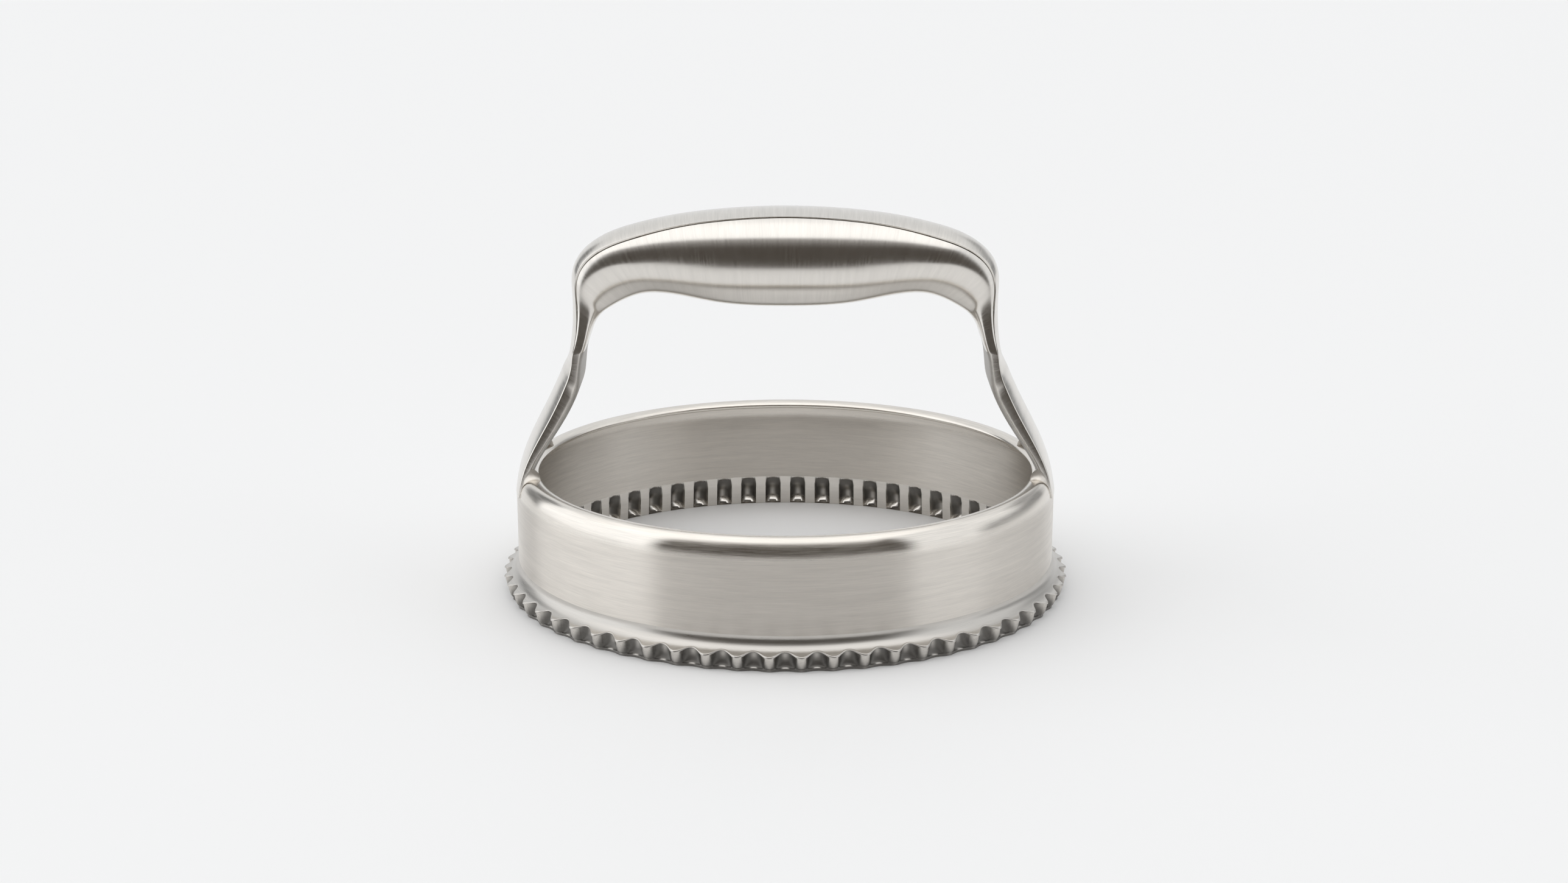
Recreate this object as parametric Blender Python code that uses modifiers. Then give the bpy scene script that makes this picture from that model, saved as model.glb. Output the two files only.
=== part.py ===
"""Ravioli cutter: a steel ring with a fluted cutting edge under an arched, oval grip.

The ring's axis is +Z and the handle spans the ring along X. The origin is the ring's
centre, on the surface that the cutting edge stands on. Every length is in metres.
"""

import math

import bmesh
import bpy
from mathutils import Vector

# The ring: a smooth band of sheet steel
BAND_RADIUS = 0.0400
BAND_SHEET = 0.0008

# Its rim rounds over from the height of the spring line to a crest, and the lip inside
# the crest dips to a free edge
RIM_SPRING = 0.0153
RIM_RISE = 0.0028
RIM_REACH = 0.0017
LIP_REACH = 0.00144
LIP_ROUNDING = 0.00216

# The fluted cutting ring under the band
FLUTE_COUNT = 60
FLUTED_RING_TOP = 0.0046
COVE_REACH = 0.0007
COVE_FOOT = 0.0031
COVE_EASE_REACH_SHARE = 0.25
COVE_EASE_HEIGHT_SHARE = 0.4
RIDGE_REACH = 0.0023
RIDGE_EDGE_HEIGHT = 0.0026
RIDGE_LEAN = 0.0008
RIDGE_WALL = 0.0011
GROOVE_REACH = 0.0010
GROOVE_EDGE_HEIGHT = 0.00285
GROOVE_LEAN = 0.0004
GROOVE_WALL = 0.0015
POCKET_LEAN = 0.0005

# The handle's outer face: its height over the middle, and the points where it turns. The
# bend is given by its drop from the neck.
HANDLE_HEIGHT = 0.05645
SHOULDER_REACH = 0.0313
NECK_REACH = 0.0317
NECK_HEIGHT = 0.0355
BEND_REACH = 0.0331
BEND_DROP = 0.0033

# The shoulder's height between the neck and the top, as a share, and the belly's under it
SHOULDER_SHARE = 0.482
BELLY_SHOULDER_SHARE = 0.27

# The arch between its middle and its shoulder, as shares of the shoulder's reach
CREST_SHARE = 0.36
CREST_DROP = 0.0006
BROW_SHARE = 0.75
BROW_DROP = 0.0030

# How steeply the outer face heads down at each of those points, in degrees
CREST_HEADING = 5.7
BROW_HEADING = 16.8
SHOULDER_HEADING = 92.4
NECK_HEADING = 82.7
BEND_HEADING = 70.6
FOOT_HEADING = 84.4

# The grip under it, an oval whose belly bulges in the middle and by the shoulders
GRIP_THICKNESS = 0.0144
GRIP_ROUNDNESS = 2.3
BELLY_CREST_SHARE = 0.31
BELLY_CREST_RISE = 0.0005
BELLY_BROW_SHARE = 0.61
BELLY_BROW_RISE = 0.0019
BELLY_END_SHARE = 0.845
NECK_THICKNESS = 0.0025
NECK_SLANT = 0.12
BEND_THICKNESS = 0.0034
FOOT_THICKNESS = 0.0026

# How steeply the belly heads down at its knots, in degrees
BELLY_CREST_HEADING = -8.0
BELLY_BROW_HEADING = 0.0
BELLY_SHOULDER_HEADING = 33.0
BELLY_NECK_HEADING = 72.0

# Half the grip's depth from front to back, and how deep under its top it is widest
GRIP_HALF_DEPTH = 0.0085
CREST_HALF_DEPTH = 0.00825
BROW_HALF_DEPTH = 0.0072
SHOULDER_LIP = 0.0012
GRIP_WIDEST = 0.0072
BROW_WIDEST = 0.0048
SHOULDER_WIDEST = 0.0026
NECK_CROWN = 0.0008
BEND_CROWN = 0.0014

# The half-round strap that runs from foot to foot over the grip
STRAP_GRIP_HALF_WIDTH = 0.00425
STRAP_SHOULDER_HALF_WIDTH = 0.0042
STRAP_NECK_HALF_WIDTH = 0.0055
STRAP_BEND_HALF_WIDTH = 0.0066
STRAP_FOOT_HALF_WIDTH = 0.0098
STRAP_GRIP_THICKNESS = 0.0018

# Places across the strap's crown and its underside, as shares of its half width
CROWN_SHARES = (-1, -0.7, -0.35, 0, 0.35, 0.7, 1)
UNDERSIDE_SHARES = (0.94, 0.5, 0, -0.5, -0.94)

# The hollow shell that fills out the grip under the strap
GRIP_SHELL_WALL = 0.0009

# Weld metal in the corners between the handle's feet and the rim: the fillet's size, the
# turns round the rim where it is drawn, and its outline as shares of its size
WELD_LEG = 0.0024
WELD_TURNS = (20, 45, 65, 85, 105, 125)
WELD_OUTLINE = ((0, 0), (1, 0), (1, 0.1), (0.5, 0.3), (0.15, 0.7), (0, 1.3))

# Clear space between neighbours, so that each piece stays its own solid
CLEARANCE = 0.0003

# How finely the curves are divided
BAND_STEPS = 72
STEPS_PER_FLUTE = 6
STEPS_PER_SPAN = 4
BELLY_STEPS = 16
LEG_BELLY_STEPS = 6

# Short ways along the handle, in spans: past the neck, to read a heading, to find a height
PAST_NECK = 0.06
HEADING_STEP = 0.01
SEARCH_STEP = 0.02

RIM_TOP = RIM_SPRING + RIM_RISE
LIP_END = math.degrees(math.acos(-LIP_REACH / LIP_ROUNDING))


def clear_scene():
    for thing in list(bpy.data.objects):
        bpy.data.objects.remove(thing, do_unlink=True)


def make_collection(name):
    collection = bpy.data.collections.new(name)
    bpy.context.scene.collection.children.link(collection)
    return collection


def steel(name, colour, roughness):
    material = bpy.data.materials.new(name)
    material.use_nodes = True
    shader = material.node_tree.nodes["Principled BSDF"]
    shader.inputs["Base Color"].default_value = (*colour, 1.0)
    shader.inputs["Metallic"].default_value = 1.0
    shader.inputs["Roughness"].default_value = roughness
    return material


def add_object(name, mesh, collection, material=None):
    part = bpy.data.objects.new(name, mesh)
    collection.objects.link(part)
    if material:
        mesh.materials.append(material)
    return part


def shade(mesh):
    mesh.shade_smooth()
    mesh.set_sharp_from_angle(angle=math.radians(35))


def loft_mesh(name, rings, closed=False):
    """A skin over rings of points: capped at both ends, or joined end to end."""
    shape = bmesh.new()
    loops = [[shape.verts.new(point) for point in ring] for ring in rings]
    pairs = list(zip(loops, loops[1:]))
    if closed:
        pairs.append((loops[-1], loops[0]))
    else:
        shape.faces.new(loops[0])
        shape.faces.new(loops[-1])
    for near, far in pairs:
        for k in range(len(near)):
            after = (k + 1) % len(near)
            shape.faces.new((near[k], near[after], far[after], far[k]))
    bmesh.ops.recalc_face_normals(shape, faces=shape.faces)
    mesh = bpy.data.meshes.new(name)
    shape.to_mesh(mesh)
    shape.free()
    shade(mesh)
    return mesh


def turned_mesh(name, profile):
    """A closed outline in the XZ plane, which a Screw modifier turns round Z."""
    mesh = bpy.data.meshes.new(name)
    edges = [(k, (k + 1) % len(profile)) for k in range(len(profile))]
    mesh.from_pydata([(r, 0.0, z) for r, z in profile], edges, [])
    return mesh


def add_screw(part, steps):
    screw = part.modifiers.new("turn", "SCREW")
    screw.axis = "Z"
    screw.angle = math.tau
    screw.steps = steps
    screw.render_steps = steps
    screw.use_merge_vertices = True
    screw.merge_threshold = 0.00001
    screw.use_smooth_shade = True


def cut(part, cutter):
    boolean = part.modifiers.new(f"clear_{cutter.name}", "BOOLEAN")
    boolean.operation = "DIFFERENCE"
    boolean.solver = "EXACT"
    boolean.object = cutter


def mark_as_cutter(part):
    part.hide_render = True
    part.display_type = "WIRE"


def mix(low, high, share):
    return low + (high - low) * share


def rim_point(turn, offset):
    """The rim's face, moved out: turn 0 is at the wall, 90 on the crest, then the lip."""
    across, up = math.cos(math.radians(turn)), math.sin(math.radians(turn))
    crest = BAND_RADIUS - RIM_REACH
    if turn <= 90:
        out = Vector((across / RIM_REACH, up / RIM_RISE)).normalized()
        point = Vector((crest + RIM_REACH * across, RIM_SPRING + RIM_RISE * up))
    else:
        out = Vector((across, up))
        point = Vector((crest, RIM_TOP - LIP_ROUNDING)) + LIP_ROUNDING * out
    return point + offset * out


RIM_TURNS = (0.0, 25.0, 45.0, 60.0, 75.0, 90.0, 110.0, LIP_END)


def band_profile():
    """From the lip's free edge over the rim, down the outside and up the inside."""
    bottom = FLUTED_RING_TOP + CLEARANCE
    outside = [rim_point(turn, 0.0) for turn in reversed(RIM_TURNS)]
    inside = [rim_point(turn, -BAND_SHEET) for turn in RIM_TURNS]
    return outside + [(BAND_RADIUS, bottom), (BAND_RADIUS - BAND_SHEET, bottom)] + inside


def rim_seat_profile():
    """A solid that holds the rim and its clearance, to cut what stands on the rim."""
    over = [rim_point(turn, CLEARANCE) for turn in reversed(RIM_TURNS)]
    inside, bottom = BAND_RADIUS - 3 * (RIM_REACH + LIP_REACH), RIM_SPRING - 2 * RIM_RISE
    return [(inside, over[0].y)] + over + [(BAND_RADIUS + CLEARANCE, bottom), (inside, bottom)]


def flute_section(wave):
    """The cutting ring's outline: wave is 0 in a groove and 1 on a ridge."""
    edge = BAND_RADIUS + mix(GROOVE_REACH, RIDGE_REACH, wave)
    edge_height = mix(GROOVE_EDGE_HEIGHT, RIDGE_EDGE_HEIGHT, wave)
    lean = mix(GROOVE_LEAN, RIDGE_LEAN, wave)
    inner = edge - mix(GROOVE_WALL, RIDGE_WALL, wave)
    inner_lean = POCKET_LEAN * wave
    wall = BAND_RADIUS - BAND_SHEET
    outside = [
        (BAND_RADIUS, FLUTED_RING_TOP),
        (
            BAND_RADIUS + COVE_EASE_REACH_SHARE * COVE_REACH,
            mix(COVE_FOOT, FLUTED_RING_TOP, COVE_EASE_HEIGHT_SHARE),
        ),
        (BAND_RADIUS + COVE_REACH, COVE_FOOT),
        (edge, edge_height),
        (edge - lean, 0.0),
    ]
    inside = [
        (inner - inner_lean, 0.0),
        (inner, edge_height - BAND_SHEET),
        (mix(wall, inner, 0.5), COVE_FOOT),
        (wall, FLUTED_RING_TOP),
    ]
    return outside + inside


def fluted_ring_rings():
    rings = []
    count = FLUTE_COUNT * STEPS_PER_FLUTE
    for k in range(count):
        turn = math.tau * k / count
        wave = 0.5 - 0.5 * math.cos(FLUTE_COUNT * turn)
        rings.append(
            [
                Vector((r * math.cos(turn), r * math.sin(turn), z))
                for r, z in flute_section(wave)
            ]
        )
    return rings


SHOULDER_HEIGHT = mix(NECK_HEIGHT, HANDLE_HEIGHT, SHOULDER_SHARE)

# Knots of the handle's outer face: x, z and heading, from the middle to a foot
OUTER_LINE = (
    (0.0, HANDLE_HEIGHT, 0.0),
    (CREST_SHARE * SHOULDER_REACH, HANDLE_HEIGHT - CREST_DROP, CREST_HEADING),
    (BROW_SHARE * SHOULDER_REACH, HANDLE_HEIGHT - BROW_DROP, BROW_HEADING),
    (SHOULDER_REACH, SHOULDER_HEIGHT, SHOULDER_HEADING),
    (NECK_REACH, NECK_HEIGHT, NECK_HEADING),
    (BEND_REACH, NECK_HEIGHT - BEND_DROP, BEND_HEADING),
    (BAND_RADIUS, RIM_SPRING, FOOT_HEADING),
)
SHOULDER, NECK, FOOT = 3, 4, 6

# The first knots of the grip's belly, one for each of the outer face's above the bend
BELLY_BOTTOM = HANDLE_HEIGHT - GRIP_THICKNESS
BELLY_LINE = (
    (0.0, BELLY_BOTTOM, 0.0),
    (
        BELLY_CREST_SHARE * SHOULDER_REACH,
        BELLY_BOTTOM + BELLY_CREST_RISE,
        BELLY_CREST_HEADING,
    ),
    (BELLY_BROW_SHARE * SHOULDER_REACH, BELLY_BOTTOM + BELLY_BROW_RISE, BELLY_BROW_HEADING),
    (
        BELLY_END_SHARE * SHOULDER_REACH,
        mix(NECK_HEIGHT, HANDLE_HEIGHT, BELLY_SHOULDER_SHARE),
        BELLY_SHOULDER_HEADING,
    ),
    (
        NECK_REACH - NECK_THICKNESS,
        NECK_HEIGHT - NECK_SLANT * NECK_THICKNESS,
        BELLY_NECK_HEADING,
    ),
)


def on_line(knots, t):
    """Point (x, z) at knot number t, on curves that keep each knot's heading."""
    k = min(int(t), len(knots) - 2)
    u = t - k
    start, end = Vector(knots[k][:2]), Vector(knots[k + 1][:2])
    first, last = math.radians(knots[k][2]), math.radians(knots[k + 1][2])
    pull = (end - start).length / (3 * math.cos((last - first) / 4) ** 2)
    after_start = start + pull * Vector((math.cos(first), -math.sin(first)))
    before_end = end - pull * Vector((math.cos(last), -math.sin(last)))
    v = 1 - u
    return (
        v**3 * start
        + 3 * v**2 * u * after_start
        + 3 * v * u**2 * before_end
        + u**3 * end
    )


def outward(t):
    """Direction (x, z) straight out of the handle's outer face."""
    ahead = on_line(OUTER_LINE, min(t + HEADING_STEP, FOOT))
    behind = on_line(OUTER_LINE, max(t - HEADING_STEP, 0.0))
    along = (ahead - behind).normalized()
    return Vector((-along.y, along.x)) if t > 0 else Vector((0.0, 1.0))


def arc_depth(radius, half_width):
    return radius - math.sqrt(radius**2 - half_width**2)


def span(k):
    """How far the handle's outer face runs from knot k to the next."""
    return math.dist(OUTER_LINE[k][:2], OUTER_LINE[k + 1][:2])


def along_knots(values, t, first=0):
    """A smooth value between those given at the knots from the first on."""
    k = min(int(t) - first, len(values) - 2)
    u = t - first - k
    start, end = values[k], values[k + 1]
    leaving, arriving = 0.0, 0.0
    here = span(first + k)
    if k > 0:
        leaving = (end - values[k - 1]) * here / (span(first + k - 1) + here)
    if k + 2 < len(values):
        arriving = (values[k + 2] - start) * here / (here + span(first + k + 1))
    return (
        (2 * u**3 - 3 * u**2 + 1) * start
        + (u**3 - 2 * u**2 + u) * leaving
        + (3 * u**2 - 2 * u**3) * end
        + (u**3 - u**2) * arriving
    )


STRAP_HALF_WIDTHS = (
    STRAP_GRIP_HALF_WIDTH,
    STRAP_GRIP_HALF_WIDTH,
    STRAP_GRIP_HALF_WIDTH,
    STRAP_SHOULDER_HALF_WIDTH,
    STRAP_NECK_HALF_WIDTH,
    STRAP_BEND_HALF_WIDTH,
    STRAP_FOOT_HALF_WIDTH,
)
HALF_DEPTHS = (
    GRIP_HALF_DEPTH,
    CREST_HALF_DEPTH,
    BROW_HALF_DEPTH,
    STRAP_SHOULDER_HALF_WIDTH + SHOULDER_LIP,
    STRAP_NECK_HALF_WIDTH,
)
WIDEST_DEPTHS = (
    GRIP_WIDEST,
    GRIP_WIDEST - BELLY_CREST_RISE,
    BROW_WIDEST,
    SHOULDER_WIDEST,
    NECK_CROWN,
)
LEG_CROWNS = (NECK_CROWN, BEND_CROWN, arc_depth(BAND_RADIUS, STRAP_FOOT_HALF_WIDTH))
LEG_THICKNESSES = (NECK_THICKNESS, BEND_THICKNESS, FOOT_THICKNESS)


def rounded(share):
    return math.copysign(abs(share) ** (2 / GRIP_ROUNDNESS), share)


def edge_depth(t):
    """How deep under the middle of the outer face the strap's edges lie."""
    if t >= NECK:
        return along_knots(LEG_CROWNS, t, NECK)
    reach = along_knots(STRAP_HALF_WIDTHS, t) / along_knots(HALF_DEPTHS, t)
    arc = (1 - reach**GRIP_ROUNDNESS) ** (1 / GRIP_ROUNDNESS)
    return along_knots(WIDEST_DEPTHS, t) * (1 - arc)


def strap_section(t):
    """The strap's outline across the handle, as (y, depth below the outer face)."""
    width, edge = along_knots(STRAP_HALF_WIDTHS, t), edge_depth(t)
    outer = [(s * width, edge * s * s) for s in CROWN_SHARES]
    if t <= NECK:
        return outer + [(s * width, STRAP_GRIP_THICKNESS) for s in UNDERSIDE_SHARES]
    deep = along_knots(LEG_THICKNESSES, t, NECK) - edge
    turns = [math.pi * k / LEG_BELLY_STEPS for k in range(1, LEG_BELLY_STEPS)]
    return outer + [
        (width * rounded(math.cos(a)), edge + deep * rounded(math.sin(a))) for a in turns
    ]


def seat_section(t):
    """A box that holds the strap and its clearance, and all that is above it."""
    width = along_knots(STRAP_HALF_WIDTHS, t) + CLEARANCE
    thickness = STRAP_GRIP_THICKNESS if t <= NECK else NECK_THICKNESS
    top, bottom = -GRIP_THICKNESS, thickness + CLEARANCE
    return [(-width, top), (width, top), (width, bottom), (-width, bottom)]


def stations(reach):
    """Places along one half of the handle, with one close past the neck."""
    even = [k / STEPS_PER_SPAN for k in range(reach * STEPS_PER_SPAN + 1)]
    return sorted(even + [NECK + PAST_NECK]) if reach > NECK else even


def both_sides(reach):
    half = stations(reach)
    return [(t, -1) for t in reversed(half[1:])] + [(t, 1) for t in half]


def handle_rings(section, reach):
    """Rings of a section from the left, over the grip, to the right."""
    rings = []
    for t, side in both_sides(reach):
        point, out = on_line(OUTER_LINE, t), outward(t)
        places = [(y, point - depth * out) for y, depth in section(t)]
        rings.append([Vector((side * place.x, y, place.y)) for y, place in places])
    return rings


def belly_rings(inset, reach):
    """Oval rings that hold the whole grip, or its hollow when inset by the wall."""
    rings = []
    for t, side in both_sides(reach):
        top, bottom = on_line(OUTER_LINE, t), on_line(BELLY_LINE, t)
        half_depth = along_knots(HALF_DEPTHS, t)
        above = along_knots(WIDEST_DEPTHS, t)
        below = (bottom - top).length - above
        down = (bottom - top).normalized()
        ring = []
        for j in range(BELLY_STEPS):
            angle = math.tau * (j + 0.5) / BELLY_STEPS
            sink = -rounded(math.cos(angle))
            y = (half_depth - inset) * rounded(math.sin(angle))
            place = top + down * (above + sink * ((above if sink < 0 else below) - inset))
            ring.append(Vector((side * place.x, y, place.y)))
        rings.append(ring)
    return rings


def leg_at(height):
    """Where the outer face passes a height close over the foot: its x and half width."""
    t = float(FOOT)
    while t > NECK and on_line(OUTER_LINE, t).y < height:
        t -= SEARCH_STEP
    return on_line(OUTER_LINE, t).x, along_knots(STRAP_HALF_WIDTHS, t)


def weld_rings(side, end):
    """A concave fillet in the corner between one side of a foot and the rim."""
    rings = []
    for k, turn in enumerate(WELD_TURNS):
        radius, seat = rim_point(turn, CLEARANCE)
        leg = WELD_LEG * math.sin(math.pi * (k + 1) / (len(WELD_TURNS) + 1))
        ring = []
        for across, up in WELD_OUTLINE:
            height = seat + up * leg
            x, width = leg_at(height)
            y = width + CLEARANCE + across * leg
            lean = leg_at(seat)[0] - x
            ring.append(Vector((side * (math.sqrt(radius**2 - y**2) - lean), end * y, height)))
        rings.append(ring)
    return rings


def make_band(parts, material):
    band = add_object("cutter_band", turned_mesh("cutter_band", band_profile()), parts, material)
    add_screw(band, BAND_STEPS)


def make_fluted_ring(parts, material):
    mesh = loft_mesh("fluted_cutting_ring", fluted_ring_rings(), closed=True)
    add_object("fluted_cutting_ring", mesh, parts, material)


def make_rim_seat(cutters):
    seat = add_object("rim_seat", turned_mesh("rim_seat", rim_seat_profile()), cutters)
    add_screw(seat, BAND_STEPS)
    mark_as_cutter(seat)
    return seat


def make_strap(parts, rim_seat, material):
    rings = handle_rings(strap_section, FOOT)
    strap = add_object("handle_strap", loft_mesh("handle_strap", rings), parts, material)
    cut(strap, rim_seat)


def make_grip_shell(parts, cutters, material):
    shell = add_object(
        "grip_shell", loft_mesh("grip_shell", belly_rings(0.0, NECK)), parts, material
    )
    hollow = add_object(
        "grip_hollow", loft_mesh("grip_hollow", belly_rings(GRIP_SHELL_WALL, SHOULDER)), cutters
    )
    seat_rings = handle_rings(seat_section, NECK + 1)
    seat = add_object("strap_seat", loft_mesh("strap_seat", seat_rings), cutters)
    for cutter in (hollow, seat):
        mark_as_cutter(cutter)
        cut(shell, cutter)


def make_welds(parts, material):
    for x_name, side in (("left", -1), ("right", 1)):
        for y_name, end in (("front", -1), ("rear", 1)):
            name = f"weld_{y_name}_{x_name}"
            add_object(name, loft_mesh(name, weld_rings(side, end)), parts, material)


def main():
    clear_scene()
    parts = make_collection("ravioli_cutter")
    cutters = make_collection("cutters")
    satin = steel("satin_steel", (0.60, 0.58, 0.55), 0.30)
    polished = steel("polished_steel", (0.66, 0.65, 0.62), 0.18)
    make_band(parts, satin)
    make_fluted_ring(parts, polished)
    make_strap(parts, make_rim_seat(cutters), satin)
    make_grip_shell(parts, cutters, satin)
    make_welds(parts, polished)


main()
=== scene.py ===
# %% [markdown]
# # A ravioli cutter of brushed steel
#
# The tool is a steel ring with a fluted edge below and an arched grip on two legs above.
# The measured model of it is loaded first, as a fixed frame. Each piece below is modelled
# again with finer curves, in the same place, and stands for its plain one in the frame.

# %% Load the measured frame
import math

import bmesh
import bpy
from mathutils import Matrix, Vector


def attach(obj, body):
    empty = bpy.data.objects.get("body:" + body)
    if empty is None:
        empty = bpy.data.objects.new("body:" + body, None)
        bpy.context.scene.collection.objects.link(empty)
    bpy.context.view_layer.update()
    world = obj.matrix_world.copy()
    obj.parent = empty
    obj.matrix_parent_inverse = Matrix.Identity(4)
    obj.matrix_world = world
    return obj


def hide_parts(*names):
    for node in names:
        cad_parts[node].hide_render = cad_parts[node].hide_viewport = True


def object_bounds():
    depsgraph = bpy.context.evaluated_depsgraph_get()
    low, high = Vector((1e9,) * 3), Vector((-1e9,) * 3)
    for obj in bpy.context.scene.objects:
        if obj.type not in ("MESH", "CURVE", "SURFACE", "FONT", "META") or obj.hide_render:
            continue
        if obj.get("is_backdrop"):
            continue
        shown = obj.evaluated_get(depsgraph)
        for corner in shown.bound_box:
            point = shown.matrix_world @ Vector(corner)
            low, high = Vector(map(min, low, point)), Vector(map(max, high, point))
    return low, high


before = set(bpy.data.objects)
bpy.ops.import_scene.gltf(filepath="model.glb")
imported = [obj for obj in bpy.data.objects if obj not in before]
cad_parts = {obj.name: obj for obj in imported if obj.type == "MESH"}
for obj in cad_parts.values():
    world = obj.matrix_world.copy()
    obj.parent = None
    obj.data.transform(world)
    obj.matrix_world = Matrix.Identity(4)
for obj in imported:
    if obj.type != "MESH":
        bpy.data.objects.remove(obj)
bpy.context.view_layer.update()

# %% [markdown]
# ## The camera
#
# A photographer would put a camera like this 34 cm in front of the cutter and 11 cm up,
# with a lens of 54 mm, and tip it down by 15 degrees. Blender's camera looks down its own
# -Z axis, so it is turned up from there by 90 degrees less the tip.

# %% Camera
CAMERA_PLACE = Vector((0.0, -0.33805, 0.11123))
CAMERA_TIP = math.radians(14.93)
LENS, SIDE_SHIFT = 53.83, -0.00085

camera = bpy.data.objects.new("camera", bpy.data.cameras.new("camera"))
bpy.context.scene.collection.objects.link(camera)
camera.location = CAMERA_PLACE
camera.rotation_euler = (math.radians(90) - CAMERA_TIP, 0, 0)
camera.data.sensor_width = 36
camera.data.lens = LENS
camera.data.shift_x = SIDE_SHIFT
camera.data.clip_start = 0.01
camera.data.clip_end = 50
bpy.context.scene.camera = camera
bpy.context.scene.view_settings.view_transform = "Standard"
print("the camera is", round(1000 * CAMERA_PLACE.length), "mm from the ring's centre")

# %% [markdown]
# ## Outlines that are drawn, then turned
#
# A metal spinner makes a ring by turning one outline. The same is done here: a pen vertex
# is extruded from place to place in the XZ plane, and the closed outline is spun round Z.
# Round places in an outline come from two small helpers, an arc and an eased corner.

# %% Outline helpers
MM = 0.001
MERGE_WITHIN, NO_LENGTH = 0.0005 * MM, 0.0001 * MM


def arc(centre, radius, start, end, steps):
    """Points on a circle from one angle to another, in degrees."""
    turns = [math.radians(start + (end - start) * k / steps) for k in range(steps + 1)]
    return [centre + radius * Vector((math.cos(a), math.sin(a))) for a in turns]


def eased(before, corner, after, steps=4):
    """Points that round a corner off, from one place before it to one after it."""
    shares = [k / steps for k in range(steps + 1)]
    return [
        (1 - s) ** 2 * before + 2 * s * (1 - s) * corner + s * s * after for s in shares
    ]


def draw_outline(points):
    """A closed line in the XZ plane, drawn by extruding one numbered vertex along it."""
    shape = bmesh.new()
    line = shape.verts.layers.int.new("line")
    pen = start = shape.verts.new((points[0].x, 0, points[0].y))
    for number, point in enumerate(points[1:], 1):
        pen = bmesh.ops.extrude_vert_indiv(shape, verts=[pen])["verts"][0]
        pen.co = (point.x, 0, point.y)
        pen[line] = number
    bmesh.ops.contextual_create(shape, geom=[pen, start])
    return shape


def turn(shape, degrees, steps, copies=False):
    """Spin all of a shape round the ring's axis."""
    bmesh.ops.spin(
        shape,
        geom=shape.verts[:] + shape.edges[:] + shape.faces[:],
        cent=(0, 0, 0),
        axis=(0, 0, 1),
        angle=math.radians(degrees),
        steps=steps,
        use_merge=degrees == 360,
        use_duplicate=copies,
    )


def finish_piece(name, shape, crease=35):
    """Turn the faces outwards, shade them and make the object that rides on the body."""
    bmesh.ops.remove_doubles(shape, verts=shape.verts, dist=MERGE_WITHIN)
    bmesh.ops.dissolve_degenerate(shape, edges=shape.edges, dist=NO_LENGTH)
    bmesh.ops.recalc_face_normals(shape, faces=shape.faces)
    open_edges = sum(1 for edge in shape.edges if len(edge.link_faces) != 2)
    mesh = bpy.data.meshes.new(name)
    shape.to_mesh(mesh)
    shape.free()
    mesh.shade_smooth()
    mesh.set_sharp_from_angle(angle=math.radians(crease))
    piece = bpy.data.objects.new(name, mesh)
    bpy.context.scene.collection.objects.link(piece)
    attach(piece, "root")
    triangles = sum(len(face.vertices) - 2 for face in mesh.polygons)
    print(name, triangles, "triangles,", open_edges, "open edges")
    return piece


# %% [markdown]
# ## The band
#
# The band is a strip of 0.8 mm sheet, welded into a ring 80 mm across. Its rim is rolled
# inwards: the sheet rises over a quarter ellipse to a crest, and the lip behind the crest
# dips to a free edge that is rounded off so that it doesn't hurt the hand. The outline is
# the sheet's section, and one full turn of it makes the piece.

# %% The rim's curve
BAND_RADIUS = 40 * MM
SHEET = 0.8 * MM
RIM_SPRING, RIM_RISE, RIM_REACH = 14.5 * MM, 3.6 * MM, 1.95 * MM
LIP_ROUNDING = 2.16 * MM
LIP_END = 126
JOINT_HEIGHT = 4.65 * MM


def rim_point(turned, inset=0.0):
    """The rim's section: turned is 0 at the wall, 90 on the crest, then the lip."""
    across, up = math.cos(math.radians(turned)), math.sin(math.radians(turned))
    crest = BAND_RADIUS - RIM_REACH
    if turned <= 90:
        out = Vector((across / RIM_REACH, up / RIM_RISE)).normalized()
        place = Vector((crest + RIM_REACH * across, RIM_SPRING + RIM_RISE * up))
    else:
        out = Vector((across, up))
        place = Vector((crest, RIM_SPRING + RIM_RISE - LIP_ROUNDING)) + LIP_ROUNDING * out
    return place - inset * out


print("the crest is", round(1000 * rim_point(90).y, 2), "mm above the table")

# %% Draw the band's section and turn it
RIM_STEPS = 28
EDGE_STEPS = 8
WALL_MIDDLE = 10 * MM

rim_turns = [LIP_END * k / RIM_STEPS for k in range(RIM_STEPS + 1)]
edge_centre = rim_point(LIP_END, SHEET / 2)
section = [Vector((BAND_RADIUS, height)) for height in (JOINT_HEIGHT, WALL_MIDDLE)]
section += [rim_point(turned) for turned in rim_turns]
section += arc(edge_centre, SHEET / 2, LIP_END, LIP_END + 180, EDGE_STEPS)[1:-1]
section += [rim_point(turned, SHEET) for turned in reversed(rim_turns)]
section += [Vector((BAND_RADIUS - SHEET, height)) for height in (WALL_MIDDLE, JOINT_HEIGHT)]

shape = draw_outline(section)
turn(shape, 360, 360)
band = finish_piece("band", shape)
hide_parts("cutter_band")

# %% [markdown]
# ## The fluted edge
#
# Below the band the ring flares out over a cove to a flange, and a press has folded the
# edge of the flange into 60 flutes. Each flute is 6 degrees of the ring: a groove outside,
# a ridge outside with an arched pocket behind it, and a thin foot that closes both at the
# bottom, where the dough is pinched. One flute is drawn and turned through its 6 degrees.
# Then each of its lines is pushed to the place that it has at its own part of the wave, and
# the flute is copied round the ring.

# %% Sizes of a flute, in millimetres
FLUTES = 60
STEPS_IN_FLUTE = 26
COVE_SIZE = Vector((2.3, 2.06)) * MM
COVE_TOP, COVE_ROUNDNESS = 4.48 * MM, 1.9
COVE_POINTS, NOSE_POINTS = 13, 5
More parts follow.
